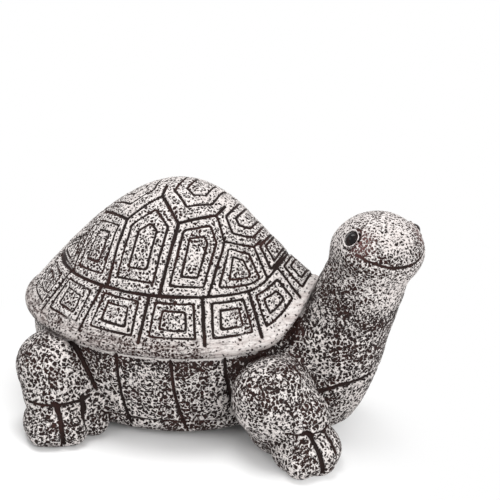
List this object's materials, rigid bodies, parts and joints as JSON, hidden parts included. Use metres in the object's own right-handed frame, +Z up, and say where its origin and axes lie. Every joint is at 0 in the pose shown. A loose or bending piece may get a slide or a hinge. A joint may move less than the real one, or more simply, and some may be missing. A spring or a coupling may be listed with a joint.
{
  "type": "turtle key hider",
  "caption": "Cast garden turtle whose domed shell lifts straight off an oval well with a raised lip, where a spare key is hidden.",
  "frame": {"origin": "bottom centre of the closed turtle's box, on the surface that it stands on", "axes": "+X forward, the way the body points; +Y to the turtle's left; +Z up, the way the shell lifts"},
  "size_m": [0.17, 0.1332, 0.0938],
  "materials": {
    "body_casting": "off-white dry brushed over dark brown, speckled",
    "shell_casting": "off-white dry brushed over dark brown, dark in the carved lines",
    "eye_bead": "glossy black"
  },
  "bodies": {
    "body": {"turtle_body": "body_casting", "eye_right": "eye_bead", "eye_left": "eye_bead"},
    "shell": {"shell_lid": "shell_casting"}
  },
  "joints": [
    {"name": "shell_lift", "type": "slide", "parent": "body", "child": "shell", "axis": [0, 0, 1], "range_m": [0, 0.08]}
  ]
}
